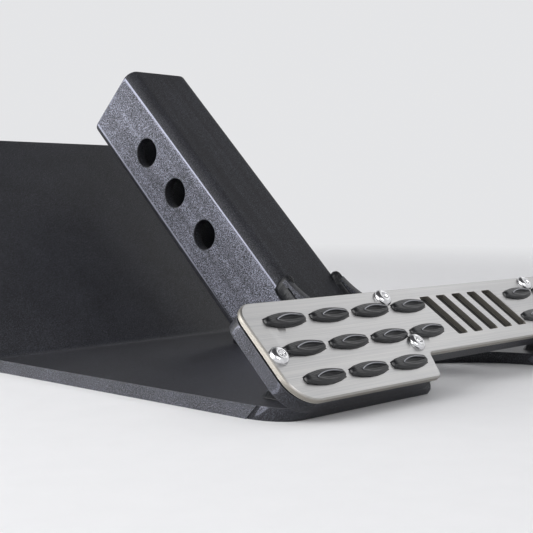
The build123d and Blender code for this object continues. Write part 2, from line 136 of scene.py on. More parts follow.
class Graph:
    """Node tree of a material or of the world, filled through one method."""

    def __init__(self, owner: bpy.types.Material | bpy.types.World, coordinates: str = "Object") -> None:
        """Empties the owner's tree and takes its coordinates.

        Args:
            owner: The new material or world.
            coordinates: Output of the coordinate node that the patterns use.
        """
        self.owner = owner
        owner.use_nodes = True
        self.tree = owner.node_tree
        self.tree.nodes.clear()
        self.place = self.add("ShaderNodeTexCoord", {}, {}, coordinates)

    @classmethod
    def material(cls, name: str) -> "Graph":
        """Starts an empty material of this name."""
        return cls(bpy.data.materials.new(name))

    def add(self, kind: str, settings: dict, sockets: dict, output: int | str = 0) -> Signal:
        """Adds one node.

        Args:
            kind: The node's type.
            settings: Its properties, set before its sockets.
            sockets: Values or signals by socket name or number.
            output: The output that is handed back.

        Returns:
            The chosen output as a signal.
        """
        node = self.tree.nodes.new(kind)
        for key, value in settings.items():
            setattr(node, key, value)
        for key, value in sockets.items():
            if isinstance(value, Signal):
                self.tree.links.new(value.socket, node.inputs[key])
            else:
                node.inputs[key].default_value = value
        if not node.outputs:
            return Signal(self, None)
        return Signal(self, node.outputs[output])

    def noise(
        self, scale: Triple | float, detail: float = 3.0, rough: float = 0.55, lean: float = 0.0
    ) -> Signal:
        """Noise over the object's own coordinates.

        Args:
            scale: Cells per metre along X, Y and Z, or one number for all three.
            detail: Number of finer layers.
            rough: Strength of the finer layers.
            lean: Turn of those directions about X, in degrees.

        Returns:
            The noise from 0 to 1.
        """
        if isinstance(scale, float):
            scale = (scale, scale, scale)
        place = self.place
        if lean:
            settings = {"rotation_type": "X_AXIS", "invert": True}
            sockets = {"Vector": place, "Angle": math.radians(lean)}
            place = self.add("ShaderNodeVectorRotate", settings, sockets)
        spread = self.add("ShaderNodeVectorMath", {"operation": "MULTIPLY"}, {0: place, 1: scale})
        sockets = {"Vector": spread, "Scale": 1.0, "Detail": detail, "Roughness": rough}
        return self.add("ShaderNodeTexNoise", {}, sockets)

    def dot(self, first: Signal, second: Signal | Triple) -> Signal:
        """Dot product of two vectors."""
        settings = {"operation": "DOT_PRODUCT"}
        return self.add("ShaderNodeVectorMath", settings, {0: first, 1: second}, "Value")

    def facing(self, direction: Triple) -> Signal:
        """1 where the surface faces this direction, 0 at right angles to it and -1 where it faces away."""
        return self.dot(self.add("ShaderNodeNewGeometry", {}, {}, "Normal"), direction)

    def blend(self, factor: Signal, first: Colour | Signal, second: Colour | Signal) -> Signal:
        """Mixes two colours.

        Args:
            factor: 0 gives the first colour, 1 the second.
            first: Colour or signal.
            second: Colour or signal.

        Returns:
            The mixed colour.
        """
        sockets = {0: factor, 6: first, 7: second}
        return self.add("ShaderNodeMix", {"data_type": "RGBA"}, sockets, 2)

    def bump(
        self, height: Signal, strength: float, distance: float, under: Signal | None = None
    ) -> Signal:
        """Turns a height into a surface normal.

        Args:
            height: The height signal.
            strength: Share of the bump that shows.
            distance: Height in metres of a step from 0 to 1.
            under: Normal from a coarser bump.

        Returns:
            The normal.
        """
        sockets = {"Height": height, "Strength": strength, "Distance": distance}
        if under is not None:
            sockets["Normal"] = under
        return self.add("ShaderNodeBump", {}, sockets)

    def sharp_edge_mask(self, radius: float) -> Signal:
        """Mask that is 1 on sharp edges.

        Args:
            radius: Width of the edge band in metres.

        Returns:
            The mask.
        """
        rounded = self.add("ShaderNodeBevel", {"samples": 6}, {"Radius": radius})
        agree = self.dot(rounded, self.add("ShaderNodeNewGeometry", {}, {}, "Normal"))
        return (1 - agree).between(*EDGE_RANGE)

    def light_path(self, *kinds: str) -> Signal:
        """1 for any of these kinds of ray, 0 for the others."""
        total = sum(self.add("ShaderNodeLightPath", {}, {}, kind) for kind in kinds)
        return total.clipped()

    def finish(self, shader: Signal) -> bpy.types.Material | bpy.types.World:
        """Sends a shader to the surface.

        Args:
            shader: The finished shader.

        Returns:
            The owner of the tree.
        """
        kind = "World" if isinstance(self.owner, bpy.types.World) else "Material"
        self.add(f"ShaderNodeOutput{kind}", {}, {"Surface": shader})
        return self.owner


@dataclass(frozen=True)
class PowderCoat:
    """Satin black powder coat with an orange peel and metallic flakes, with painted light on faces turned
    along X: more bright flakes there, and a painted highlight line where those faces round off.
    """

    name: str = "coat_black"
    base: Colour = (0.0105, 0.0108, 0.0125, 1.0)
    worn: Colour = (0.080, 0.083, 0.093, 1.0)
    fleck_and_painted_light: Colour = (0.36, 0.37, 0.45, 1.0)
    fleck_share: float = 0.32
    fleck_range: Range = (0.44, 0.74)
    side_light_share: float = 0.40
    side_light_range: Range = (0.93, 0.995)
    corner_highlight_share: float = 2.4
    edge_band_radius: float = 0.0009
    edge_band_share: float = 0.7
    roughness: float = 0.36
    spread: float = 0.08
    gloss: float = 0.24
    grain_per_metre: float = 2300.0
    cloud_per_metre: float = 34.0
    peel_height: float = 0.00007
    peel_strength: float = 0.40
    streak: float = 0.0
    streak_scale: Triple = (210.0, 5.0, 210.0)
    streak_range: Range = (0.30, 0.70)
    lean: float = 0.0

    def build(self) -> bpy.types.Material:
        """Makes the material.

        Returns:
            The material.
        """
        graph = Graph.material(self.name)
        peel = graph.noise(self.grain_per_metre * 0.5, 2.0)
        speck = graph.noise(self.grain_per_metre, 4.0, 0.75)
        cloud = graph.noise(self.cloud_per_metre)
        uneven = (cloud - 0.5) * self.spread
        sideways = graph.facing((1.0, 0.0, 0.0))
        # Painted light: faces turned along X get a larger share of bright flakes, so they read lighter.
        side = (sideways * sideways).between(*self.side_light_range)
        flecks_and_painted_light = (speck + uneven).between(*self.fleck_range) * (self.fleck_share + side * self.side_light_share)
        # Painted highlight: a line of bright flakes where the faces turned along X round off into a corner.
        flecks_and_painted_light = flecks_and_painted_light + side * (1 - side) * (self.side_light_share * self.corner_highlight_share)
        if self.streak:
            drawn = graph.noise(self.streak_scale, 3.0, 0.6, self.lean).between(*self.streak_range)
            flecks_and_painted_light = flecks_and_painted_light * (1 - self.streak + drawn * (2 * self.streak))
        colour = graph.blend(flecks_and_painted_light, self.base, self.fleck_and_painted_light)
        colour = graph.blend(graph.sharp_edge_mask(self.edge_band_radius) * self.edge_band_share, colour, self.worn)
        rough = self.roughness + uneven + speck * self.spread
        coarse = graph.bump(peel, self.peel_strength, self.peel_height)
        normal = graph.bump(speck, self.peel_strength, self.peel_height * 0.6, coarse)
        sockets = {
            "Base Color": colour,
            "Roughness": rough,
            "Metallic": flecks_and_painted_light.clipped(),
            "Normal": normal,
            "IOR": 1.5,
            "Specular IOR Level": self.gloss,
        }
        return graph.finish(graph.add("ShaderNodeBsdfPrincipled", {}, sockets))


@dataclass(frozen=True)
class WeldCoat:
    """Glossier black over the ripples of a weld."""

    name: str = "coat_weld"
    base: Colour = (0.0125, 0.0130, 0.0150, 1.0)
    high: Colour = (0.026, 0.027, 0.031, 1.0)
    roughness: float = 0.24
    spread: float = 0.18
    gloss: float = 0.20
    lump_per_metre: float = 520.0
    lump_range: Range = (0.52, 0.74)
    lump_height: float = 0.0003
    lump_strength: float = 0.35
    pit_per_metre: float = 1900.0
    pit_height: float = 0.00006
    pit_strength: float = 0.2

    def build(self) -> bpy.types.Material:
        """Makes the material.

        Returns:
            The material.
        """
        graph = Graph.material(self.name)
        lump = graph.noise(self.lump_per_metre, 3.0, 0.6)
        pit = graph.noise(self.pit_per_metre, 2.0)
        colour = graph.blend(lump.between(*self.lump_range), self.base, self.high)
        rough = self.roughness + pit * self.spread
        coarse = graph.bump(lump, self.lump_strength, self.lump_height)
        normal = graph.bump(pit, self.pit_strength, self.pit_height, coarse)
        sockets = {"Base Color": colour, "Roughness": rough, "Normal": normal}
        sockets["Specular IOR Level"] = self.gloss
        return graph.finish(graph.add("ShaderNodeBsdfPrincipled", {}, sockets))


@dataclass(frozen=True)
class BrushedSheet:
    """Stainless steel brushed along the step, with a cut edge that is duller and warmer and a painted
    highlight along its sharp edges.
    """

    name: str = "steel_brushed"
    light: Colour = (0.62, 0.612, 0.60, 1.0)
    dark: Colour = (0.47, 0.47, 0.475, 1.0)
    edge: Colour = (0.34, 0.32, 0.285, 1.0)
    rim: Colour = (0.74, 0.735, 0.71, 1.0)
    face_range: Range = (0.55, 0.92)
    streak_range: Range = (0.30, 0.70)
    cloud_range: Range = (0.35, 0.75)
    cloud_share: float = 0.25
    fine_share: float = 0.7
    rim_highlight_radius: float = 0.0006
    rim_highlight_share: float = 0.6
    metallic: float = 0.92
    roughness: float = 0.33
    spread: float = 0.10
    edge_spread: float = 0.14
    fine_scale: Triple = (14.0, 2600.0, 2600.0)
    broad_scale: Triple = (5.6, 260.0, 260.0)
    cloud_per_metre: float = 16.0
    streak_height: float = 0.00005
    streak_strength: float = 0.22

    def build(self) -> bpy.types.Material:
        """Makes the material.

        Returns:
            The material.
        """
        graph = Graph.material(self.name)
        fine = graph.noise(self.fine_scale, 3.0, 0.6)
        broad = graph.noise(self.broad_scale, 2.0)
        cloud = graph.noise(self.cloud_per_metre)
        face = graph.facing(tuple(USE_UP)).between(*self.face_range)
        streaks = fine * self.fine_share + broad * (1 - self.fine_share)
        brushed = graph.blend(streaks.between(*self.streak_range), self.dark, self.light)
        brushed = graph.blend(cloud.between(*self.cloud_range) * self.cloud_share, brushed, self.dark)
        colour = graph.blend(face, self.edge, brushed)
        # Painted highlight: a line of lighter steel along the sheet's sharp edges.
        colour = graph.blend(graph.sharp_edge_mask(self.rim_highlight_radius) * self.rim_highlight_share, colour, self.rim)
        rough = self.roughness + (1 - face) * self.edge_spread + (fine - 0.5) * self.spread
        normal = graph.bump(fine, self.streak_strength, self.streak_height)
        sockets = {"Base Color": colour, "Roughness": rough, "Metallic": self.metallic, "Normal": normal}
        return graph.finish(graph.add("ShaderNodeBsdfPrincipled", {}, sockets))


@dataclass(frozen=True)
class MouldedRubber:
    """Black moulded rubber with a light blooming of the surface, a slight painted highlight on sharp edges
    and a painted highlight on the pads' highest lips.
    """

    name: str = "rubber_black"
    base: Colour = (0.0100, 0.0105, 0.0120, 1.0)
    bloom_and_edge_highlight: Colour = (0.030, 0.031, 0.035, 1.0)
    lip_highlight: Colour = (0.42, 0.43, 0.47, 1.0)
    crest: float = 0.09685
    lip_highlight_depths: Range = (0.00036, 0.00014)
    lip_highlight_share: float = 0.9
    dust_scale: Triple = (120.0, 260.0, 260.0)
    dust_range: Range = (0.48, 0.80)
    dust_share: float = 0.6
    edge_band_radius: float = 0.0005
    edge_band_share: float = 0.4
    roughness: float = 0.27
    spread: float = 0.16
    gloss: float = 0.55
    skin_per_metre: float = 1400.0
    skin_height: float = 0.00004
    skin_strength: float = 0.25

    def build(self) -> bpy.types.Material:
        """Makes the material.

        Returns:
            The material.
        """
        graph = Graph.material(self.name)
        skin = graph.noise(self.skin_per_metre, 3.0, 0.6)
        dust = graph.noise(self.dust_scale)
        colour = graph.blend(dust.between(*self.dust_range) * self.dust_share, self.base, self.bloom_and_edge_highlight)
        # Painted highlight: sharp edges are slightly lightened.
        colour = graph.blend(graph.sharp_edge_mask(self.edge_band_radius) * self.edge_band_share, colour, self.bloom_and_edge_highlight)
        # Painted highlight: the pads' highest lips, picked by height, turn light grey.
        height = graph.dot(graph.place, tuple(USE_UP)) - USE_LEVEL
        deep, shallow = self.lip_highlight_depths
        lip_highlight_mask = height.between(self.crest - deep, self.crest - shallow)
        colour = graph.blend(lip_highlight_mask * self.lip_highlight_share, colour, self.lip_highlight)
        rough = self.roughness + (skin - 0.25) * self.spread
        normal = graph.bump(skin, self.skin_strength, self.skin_height)
        sockets = {"Base Color": colour, "Roughness": rough, "Normal": normal}
        sockets["Specular IOR Level"] = self.gloss
        return graph.finish(graph.add("ShaderNodeBsdfPrincipled", {}, sockets))


@dataclass(frozen=True)
class BrightScrew:
    """Polished steel of the screws, with a faint smear over the shine."""

    name: str = "steel_bright"
    bright: Colour = (0.80, 0.80, 0.81, 1.0)
    shade: Colour = (0.42, 0.42, 0.43, 1.0)
    smear_per_metre: float = 420.0
    smear_range: Range = (0.42, 0.72)
    smear_share: float = 0.5
    roughness: float = 0.13
    spread: float = 0.10
    fine_spread: float = 0.04
    fine_per_metre: float = 5200.0
    fine_height: float = 0.00002
    fine_strength: float = 0.12

    def build(self) -> bpy.types.Material:
        """Makes the material.

        Returns:
            The material.
        """
        graph = Graph.material(self.name)
        smear = graph.noise(self.smear_per_metre)
        fine = graph.noise(self.fine_per_metre, 2.0)
        colour = graph.blend(smear.between(*self.smear_range) * self.smear_share, self.bright, self.shade)
        rough = self.roughness + smear * self.spread + fine * self.fine_spread
        normal = graph.bump(fine, self.fine_strength, self.fine_height)
        sockets = {"Base Color": colour, "Roughness": rough, "Metallic": 1.0, "Normal": normal}
        return graph.finish(graph.add("ShaderNodeBsdfPrincipled", {}, sockets))


@dataclass(frozen=True)
class StudioPaper:
    """Pale matt paper: lit near the part, where it takes the shadow, and evenly pale farther off."""

    name: str = "studio_paper"
    pale: Colour = (0.80, 0.80, 0.81, 1.0)
    paler: Colour = (0.84, 0.84, 0.85, 1.0)
    far: Colour = (0.78, 0.785, 0.80, 1.0)
    near_radius: float = 0.55
    far_radius: float = 1.5
    fibre_per_metre: float = 60.0
    roughness: float = 0.85
    gloss: float = 0.15

    def build(self) -> bpy.types.Material:
        """Makes the material.

        Returns:
            The material.
        """
        graph = Graph.material(self.name)
        fibre = graph.noise(self.fibre_per_metre, 4.0)
        colour = graph.blend(fibre, self.pale, self.paler)
        sockets = {"Base Color": colour, "Roughness": self.roughness, "Specular IOR Level": self.gloss}
        lit = graph.add("ShaderNodeBsdfPrincipled", {}, sockets)
        even = graph.add("ShaderNodeEmission", {}, {"Color": self.far, "Strength": 1.0})
        distance = graph.add("ShaderNodeVectorMath", {"operation": "LENGTH"}, {0: graph.place}, "Value")
        away = distance.between(self.near_radius, self.far_radius)
        factor = away * graph.light_path("Is Camera Ray", "Is Glossy Ray", "Is Transmission Ray")
        return graph.finish(graph.add("ShaderNodeMixShader", {}, {0: factor, 1: lit, 2: even}))


@dataclass(frozen=True)
class UseFrame:
    """The part's own directions: X across, Y along the tube to its free end, Z out of the tread."""

    angle: float = 43.9
    origin_y: float = 171.03
    origin_z: float = 150.73

    def matrix(self) -> Matrix:
        """Works out the way from use coordinates in millimetres to the frame in metres.

        Returns:
            The matrix.
        """
        lean = math.radians(self.angle)
        turn = Matrix.Rotation(lean, 4, "X")
        shift = Matrix.Translation(Vector((0, self.origin_y, self.origin_z)) * MM)
        return shift @ turn @ Matrix.Scale(MM, 4)


USE = UseFrame()
USE_MATRIX = USE.matrix()
USE_UP = (USE_MATRIX.to_3x3() @ Vector((0, 0, 1))).normalized()
USE_LEVEL = USE_UP.dot(USE_MATRIX.translation)


def mesh_object(name: str, build: bmesh.types.BMesh, material: bpy.types.Material) -> bpy.types.Object:
    """Turns a mesh under construction into an object with smooth faces.

    Args:
        name: The piece's name.
        build: The mesh, freed here.
        material: Its finish.

    Returns:
        The linked object.
    """
    bmesh.ops.recalc_face_normals(build, faces=build.faces)
    mesh = bpy.data.meshes.new(name)
    build.to_mesh(mesh)
    build.free()
    for face in mesh.polygons:
        face.use_smooth = True
    mesh.materials.append(material)
    piece = bpy.data.objects.new(name, mesh)
    bpy.context.scene.collection.objects.link(piece)
    return piece


def use_middle(node: str) -> Vector:
    """Middle of a solid in the part's own directions.

    Args:
        node: The solid's name.

    Returns:
        The middle, in millimetres.
    """
    back = USE_MATRIX.inverted()
    points = [back @ vert.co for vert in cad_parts[node].data.vertices]
    return Vector([(min(axis) + max(axis)) / 2 for axis in zip(*points)])


def swept_rings(build: bmesh.types.BMesh, rings: list[list[Vector]], closed_ends: bool = True) -> None:
    """Skins a row of rings with quads.

    Args:
        build: The mesh that takes the faces.
        rings: Rings of as many points each, in order.
        closed_ends: Whether the first and last ring get a face.
    """
    loops = [[build.verts.new(point) for point in ring] for ring in rings]
    count = len(loops[0])
    for near, far in zip(loops, loops[1:]):
        for index in range(count):
            after = (index + 1) % count
            build.faces.new((near[index], near[after], far[after], far[index]))
    if closed_ends:
        build.faces.new(loops[0])
        build.faces.new(list(reversed(loops[-1])))


@dataclass
class TreadPads:
    """Moulded rubber pads: barrel outline, ribbed shoulders and a leaf dimple with a lip and a vein."""

    length: float = 25.6
    width: float = 7.8
    end: float = 3.2
    top: float = 6.6
    seat: float = 4.2
    slope: float = 1.15
    end_stretch: float = 2.2
    dome: float = 0.30
    foot_margin: float = 0.25
    rib_margin: float = 0.25
    rib_end: float = 1.6
    base: float = 90.25
    leaf_length: float = 18.8
    leaf_width: float = 4.3
    leaf_depth: float = 0.95
    leaf_shift: float = 2.6
    leaf_side: float = -0.65
    lip_height: float = 0.42
    lip_width: float = 0.36
    lip_fade: float = 0.6
    fade_from: float = 0.35
    lower_lip: float = 0.45
    lip_tip: float = 0.15
    valley_wall: float = 0.55
    valley_from: float = -0.95
    valley_to: float = 0.75
    vein_height: float = 0.38
    vein_width: float = 0.42
    vein_side: float = 0.2
    rib_height: float = 0.07
    rib_pitch: float = 0.80
    columns: int = 84
    rows: int = 56
    material: bpy.types.Material | None = None

    def half_width(self, x: float) -> float:
        """Half of the pad's width at a distance from its middle.

        Args:
            x: Distance along the pad from its middle, in millimetres.

        Returns:
            Half the width there.
        """
        half = self.length / 2
        rise = (self.width - self.end) / 2
        radius = (half ** 2 + rise ** 2) / (2 * rise)
        return self.width / 2 - radius + math.sqrt(radius ** 2 - x ** 2)

    def leaf_relief(self, x: float, y: float) -> tuple[float, bool]:
        """Relief of the leaf at a point: its raised lip, the valley under it, the vein and the ribs.

        Args:
            x: Distance along the pad.
            y: Distance across it.

        Returns:
            Height over the crown in millimetres, and whether the point belongs to the leaf.
        """
        along = (x - self.leaf_shift) / (self.leaf_length / 2)
        if abs(along) >= 1.0:
            return 0.0, False
        half = self.leaf_width / 2 * (1 - along ** 2)
        aside = y - self.leaf_side
        to_rim = half - abs(aside)
        if to_rim < -3 * self.lip_width:
            return 0.0, False
        fade = 1 - self.lip_fade * self._ease((along - self.fade_from) / (1 - self.fade_from))
        lip = self.lip_height * fade * math.exp(-(to_rim / self.lip_width) ** 2)
        lip *= (1 - abs(along)) ** self.lip_tip
        if aside < 0.0:
            lip *= self.lower_lip
        if to_rim <= 0.0:
            return lip, True
        across = aside / half
        slope = self._ease((across - self.valley_from) / (self.valley_to - self.valley_from))
        wall = self._ease(to_rim / self.valley_wall)
        valley = self.leaf_depth * math.sqrt(1 - along ** 2) * slope * wall
        rib = self.rib_height * (math.cos(2 * math.pi * aside / self.rib_pitch) - 1) * wall
        to_vein = aside + self.vein_side * half
        vein = self.vein_height * math.exp(-(to_vein / self.vein_width) ** 2) * wall
        return lip - valley + rib + vein, True

    @staticmethod
    def _ease(share: float) -> float:
        """Smooth step from 0 to 1."""
        held = min(1.0, max(0.0, share))
        return held * held * (3 - 2 * held)

    def crown(self, x: float, y: float) -> float:
        """Height of the pad's surface at a point.

        Args:
            x: Distance along the pad.
            y: Distance across it.

        Returns:
            Height above the step plate, in millimetres.
        """
        half = self.half_width(x)
        to_side = half - abs(y)
        to_end = self.length / 2 - abs(x)
        side_round = self._round_off(to_side, self.slope)
        end_round = self._round_off(to_end, self.slope * self.end_stretch)
        relief, in_leaf = self.leaf_relief(x, y)
        rib = 0.0
        if not in_leaf and to_side > self.rib_margin and to_end > self.rib_end:
            rib = self.rib_height * (math.cos(2 * math.pi * to_side / self.rib_pitch) - 1)
        dome = -self.dome * (y / (self.width / 2)) ** 2
        reach = self.top - self.seat - self.foot_margin
        fall = min((side_round + end_round) * reach, reach)
        return self.top - self.lip_height + dome - fall + relief + rib

    @staticmethod
    def _round_off(distance: float, reach: float) -> float:
        """Fall of a rounded edge.

        Args:
            distance: Distance from the edge.
            reach: Width of the rounding.

        Returns:
            1 at the edge and 0 at its inner end.
        """
        if distance >= reach:
            return 0.0
        inside = 1 - max(distance, 0.0) / reach
        return 1 - math.sqrt(max(0.0, 1 - inside ** 2))

    def build_mesh(self, name: str) -> bpy.types.Object:
        """Builds one pad in its own millimetres.

        Args:
            name: The piece's name.

        Returns:
            The pad, not yet in its place.
        """
        build = bmesh.new()
        half = self.length / 2
        grid = []
        for column in range(self.columns + 1):
            x = half * math.sin(math.pi * (column / self.columns - 0.5))
            edge = self.half_width(x)
            line = []
            for row in range(self.rows + 1):
                y = edge * math.sin(math.pi * (row / self.rows - 0.5))
                line.append(build.verts.new((x, y, self.crown(x, y))))
            grid.append(line)
        for near, far in zip(grid, grid[1:]):
            for row in range(self.rows):
                build.faces.new((near[row], near[row + 1], far[row + 1], far[row]))
        rim = [edge for edge in build.edges if edge.is_boundary]
        walls = bmesh.ops.extrude_edge_only(build, edges=rim)
        foot = [item for item in walls["geom"] if isinstance(item, bmesh.types.BMVert)]
        for vert in foot:
            vert.co.z = 0.0
        lower = [item for item in walls["geom"] if isinstance(item, bmesh.types.BMEdge) and item.is_boundary]
        bmesh.ops.holes_fill(build, edges=lower, sides=0)
        return mesh_object(name, build, self.material)

    def place_all(self) -> list[bpy.types.Object]:
        """Builds every pad over its solid.

        Returns:
            The pads.
        """
        pieces = []
        for node in sorted(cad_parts):
            if not node.startswith("tread_pad_"):
                continue
            middle = use_middle(node)
            piece = self.build_mesh(node.replace("tread_pad", "pad_skin"))
            piece.data.transform(USE_MATRIX @ Matrix.Translation((middle.x, middle.y, self.base)))
            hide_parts(node)
            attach(piece, "root")
            pieces.append(piece)
        return pieces


@dataclass
class Station:
    """One cross-section of a weld: its root, its two toes and the point that its face bulges towards."""

    root: Vector
    low: Vector
    crest: Vector
    high: Vector

    def point(self, share: float) -> Vector:
        """Point on the weld's face.

        Args:
            share: 0 at the lower toe, 1 at the upper.

        Returns:
            The point on the curve between the toes.
        """
        rest = 1 - share
        return self.low * rest * rest + self.crest * (2 * share * rest) + self.high * share * share


@dataclass
class WeldBeads:
    """Rippled weld beads over the plain solids of the welds."""

    tube_half: float = 25.4
    tube_corner: float = 7.2
    plate: float = 6.35
    gusset: float = 4.76
    gusset_toe: float = -181.5
    gusset_end: float = -214.5
    nose_middle: float = 21.8
    nose_reach: float = 3.9
    nose_stretch: float = 1.25
    nose_top: float = 29.35
    foot_leg: float = 5.6
    step_leg: float = 6.0
    step_ends: Range = (66.0, 152.0)
    step_y: float = -100.0
    rib_leg: float = 2.9
    rib_back: float = 3.2
    ripple_pitch: float = 1.55
    ripple_share: float = 0.09
    ripple_lag: float = 0.55
    ripple_power: float = 0.7
    lump_share: float = 0.035
    lump_per_mm: float = 0.6
    wander_share: float = 0.05
    wander_per_mm: float = 0.11
    outer_section: tuple[Range, ...] = ((-2.4, 21.6), (-0.05, 17.4), (1.7, 21.6), (0.0, 27.0))
    inner_section: tuple[Range, ...] = ((0.6, 24.6), (-2.7, 25.35), (-0.6, 26.2), (0.0, 28.1))
    face_points: int = 9
    spacing: float = 0.42
    material: bpy.types.Material | None = None

    def rippled(self, stations: list[Station], seed: float) -> list[list[Vector]]:
        """Gives a row of stations the ripples of a hand weld.

        Args:
            stations: The bead's sections, close together.
            seed: Shift of the noise, another for each bead.

        Returns:
            Rings of points for swept_rings.
        """
        rings = []
        travelled = 0.0
        for index, station in enumerate(stations):
            if index:
                travelled += (station.crest - stations[index - 1].crest).length
            wander = noise.noise(Vector((travelled * self.wander_per_mm, seed, 0.0)))
            ring = [station.root]
            for step in range(self.face_points):
                share = step / (self.face_points - 1)
                bow = math.sin(math.pi * share)
                phase = (travelled + self.ripple_lag * bow + 0.5 * wander) / self.ripple_pitch
                scallop = 1 - abs(math.sin(math.pi * phase)) ** self.ripple_power
                outward = station.point(share) - station.root
                lump = noise.noise(Vector((travelled * self.lump_per_mm, share * 2.0, seed + 7.0)))
                uneven = self.lump_share * lump + self.wander_share * wander
                swell = 1 + bow * (self.ripple_share * (0.55 - scallop) + uneven)
                ring.append(station.root + outward * swell)
            rings.append(ring)
        return rings

    def spread(self, start: Station, end: Station) -> list[Station]:
        """Fills the way between two stations.

        Args:
            start: First station.
            end: Last station.

        Returns:
            The stations between them, with the first and without the last.
        """
        length = max((end.crest - start.crest).length, (end.root - start.root).length)
        count = max(1, round(length / self.spacing))
        row = []
        for index in range(count):
            share = index / count
            row.append(Station(
                start.root.lerp(end.root, share),
                start.low.lerp(end.low, share),
                start.crest.lerp(end.crest, share),
                start.high.lerp(end.high, share),
            ))
        return row

    def skin(self, weld: str, corners: list[Station], place: Matrix, seed: float) -> bpy.types.Object:
        """Builds one bead through its main stations.

        Args:
            weld: Solid that the bead stands for.
            corners: Main stations, in millimetres.
            place: Matrix into the frame.
            seed: Shift of the noise.

        Returns:
            The bead.
        """
        stations = []
        for start, end in zip(corners, corners[1:]):
            stations += self.spread(start, end)
        stations.append(corners[-1])
        build = bmesh.new()
        swept_rings(build, self.rippled(stations, seed))
        piece = mesh_object(weld.replace("weld", "bead"), build, self.material)
        piece.data.transform(place)
        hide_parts(weld)
        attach(piece, "root")
        return piece

    def tube_surface(self, x: float) -> float:
        """Height of the tube's upper surface over its axis.

        Args:
            x: Distance from the tube's middle, in millimetres.

        Returns:
            The height in millimetres.
        """
        centre = self.tube_half - self.tube_corner
        past = min(max(abs(x) - centre, 0.0), self.tube_corner)
        return centre + math.sqrt(self.tube_corner ** 2 - past ** 2)

    def straight(self, face: float, section: tuple[Range, ...], y: float) -> Station:
        """Section at y of a bead along a face, from offsets to the face and heights over the tube's axis."""
        return Station(*(Vector((face + offset, y, height)) for offset, height in section))

    def gusset_bead(self, side: Side) -> bpy.types.Object:
        """Bead in the tube's round corner, round the gusset's toe and back inside.

        Args:
            side: Side of the tube.

        Returns:
            The bead.
        """
        inner = self.tube_half - self.gusset
        stop_y = self.gusset_toe - 5.0
        corners = [self.straight(self.tube_half, self.outer_section, y) for y in (self.gusset_end, stop_y)]
        middle = Vector((self.nose_middle, self.gusset_toe - 0.6, 0.0))
        for degrees in range(0, 181, 12):
            turn = math.radians(degrees)
            reach = Vector((math.cos(turn), self.nose_stretch * math.sin(turn), 0.0))
            foot = middle + reach * self.nose_reach
            foot.z = self.tube_surface(foot.x) - 0.15
            crest = middle + reach * (self.nose_reach - 0.1) + Vector((0, 0, self.nose_top - 0.15))
            high = middle + reach * 0.6 + Vector((0, 0, self.nose_top))
            corners.append(Station(middle + Vector((0, -0.5, 24.0)), foot, crest, high))
        corners += [self.straight(inner, self.inner_section, y) for y in (stop_y, self.gusset_end)]
        if side is Side.LEFT:
            for station in corners:
                for point in (station.root, station.low, station.crest, station.high):
                    point.x = -point.x
        return self.skin(f"weld_gusset_{side.word}", corners, USE_MATRIX, 3.0 * side.value)

    def foot_bead(self) -> bpy.types.Object:
        """Bead round the tube's foot on the rear panel.

        Returns:
            The bead.
        """
        lean = math.radians(USE.angle)
        middle_y = USE.origin_y + (self.plate - USE.origin_z) / math.tan(lean)
        centre = self.tube_half - self.tube_corner
        section = []
        for quarter in range(4):
            for step in range(13):
                turn = math.radians(90 * quarter + 90 * step / 12)
                corner_x = centre * (1 if quarter in (0, 3) else -1)
                corner_z = centre * (1 if quarter in (0, 1) else -1)
                normal = Vector((math.cos(turn), 0.0, math.sin(turn)))
                corner = Vector((corner_x, 0.0, corner_z))
                section.append((corner + normal * self.tube_corner, normal))
        section.append(section[0])
        turn_in = Matrix.Rotation(lean, 3, "X")
        corners = []
        for point, normal in section:
            wall = turn_in @ normal
            root = Vector((point.x, middle_y - point.z / math.sin(lean), self.plate))
            flat = Vector((wall.x, wall.y, 0.0)).normalized()
            climb = (Vector((0, 0, 1)) - wall * wall.z).normalized()
            low = root + flat * self.foot_leg
            high = root + climb * self.foot_leg
            crest = (low + high) / 2 + (flat + climb) * 0.35
            corners.append(Station(root - flat * 1.2 - Vector((0, 0, 0.8)), low, crest, high))
        return self.skin("weld_tube_foot", corners, Matrix.Scale(MM, 4), 11.0)

    def step_bead(self, side: Side) -> bpy.types.Object:
        """Bead in the corner between the rear panel and a wing.

        Args:
            side: Side of the part.

        Returns:
            The bead.
        """
        lean = math.radians(USE.angle)
        outward = Vector((0, math.cos(lean / 2), math.sin(lean / 2)))
        corners = []
        for x in self.step_ends:
            root = Vector((side.value * x, self.step_y, self.plate))
            low = root + Vector((0, self.step_leg, 0))
            high = root + Vector((0, math.cos(lean), math.sin(lean))) * self.step_leg
            corners.append(Station(root, low, (low + high) / 2 + outward * 0.9, high))
        return self.skin(f"weld_step_{side.word}", corners, Matrix.Scale(MM, 4), 5.0 * side.value)

    def rib_bead(self, side: Side, which: str) -> bpy.types.Object:
        """Bead along a rib's foot and round its front end.

        Args:
            side: Side of the part.
            which: "inner" or "outer".

        Returns:
            The bead.
        """
        low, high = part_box(f"wing_rib_{which}_{side.word}")
        left, right = low[0] / MM, high[0] / MM
        back, front = low[1] / MM + self.rib_back, high[1] / MM
        leg = self.rib_leg
        corners = []
        legs = (
            (left, back, Vector((-1, 0, 0))),
            (left, front, Vector((-1, 0, 0))),
            (left, front, Vector((0, 1, 0))),
            (right, front, Vector((0, 1, 0))),
            (right, front, Vector((1, 0, 0))),
            (right, back, Vector((1, 0, 0))),
        )
        for x, y, out in legs:
            root = Vector((x, y, self.plate))
            toe = root + out * leg
            top = root + Vector((0, 0, leg))
            sunk = root - out * 0.5 - Vector((0, 0, 0.5))
            corners.append(Station(sunk, toe, (toe + top) / 2 + out * 0.3, top))
        return self.skin(f"weld_rib_{which}_{side.word}", corners, Matrix.Scale(MM, 4), 2.0 * side.value)

